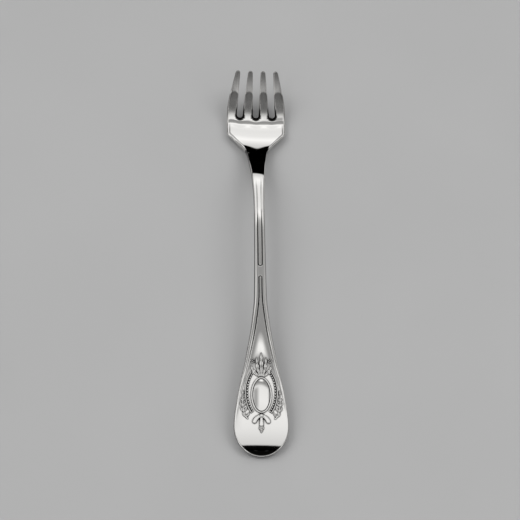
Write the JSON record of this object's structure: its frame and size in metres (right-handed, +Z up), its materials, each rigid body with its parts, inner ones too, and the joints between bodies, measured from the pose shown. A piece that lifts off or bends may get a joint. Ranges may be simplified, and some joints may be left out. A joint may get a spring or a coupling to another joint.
{
  "type": "kids fork",
  "caption": "Small polished metal table fork with curved tines, a shallow bowl, an arched stem and a flared handle with a beaded oval medallion in relief.",
  "frame": {"origin": "on the table, under the middle of the fork's box, with the fork lying face up", "axes": "+Y along the fork from the handle end to the tine tips, +X to the right seen from above with the tines away, +Z up"},
  "size_m": [0.0212, 0.1456, 0.0105],
  "materials": {
    "polished_metal": "mirror polished, with faint hairline scratches",
    "relief_metal": "polished on the high places, slightly darker in the recesses"
  },
  "bodies": {
    "root": {"handle": "polished_metal", "stem": "polished_metal", "neck": "polished_metal", "bowl": "polished_metal", "tine_outer_left": "polished_metal", "tine_inner_left": "polished_metal", "tine_inner_right": "polished_metal", "tine_outer_right": "polished_metal", "medallion": "polished_metal", "medallion_rim": "relief_metal", "crest_leaves": "relief_metal", "ribbon_bow": "relief_metal", "husk_drop": "relief_metal", "bead_band_left": "relief_metal", "bead_band_right": "relief_metal", "outer_rim_left": "relief_metal", "outer_rim_right": "relief_metal", "crest_flower_left": "relief_metal", "crest_flower_right": "relief_metal", "leaf_spray_left": "relief_metal", "leaf_spray_right": "relief_metal"}
  },
  "joints": []
}
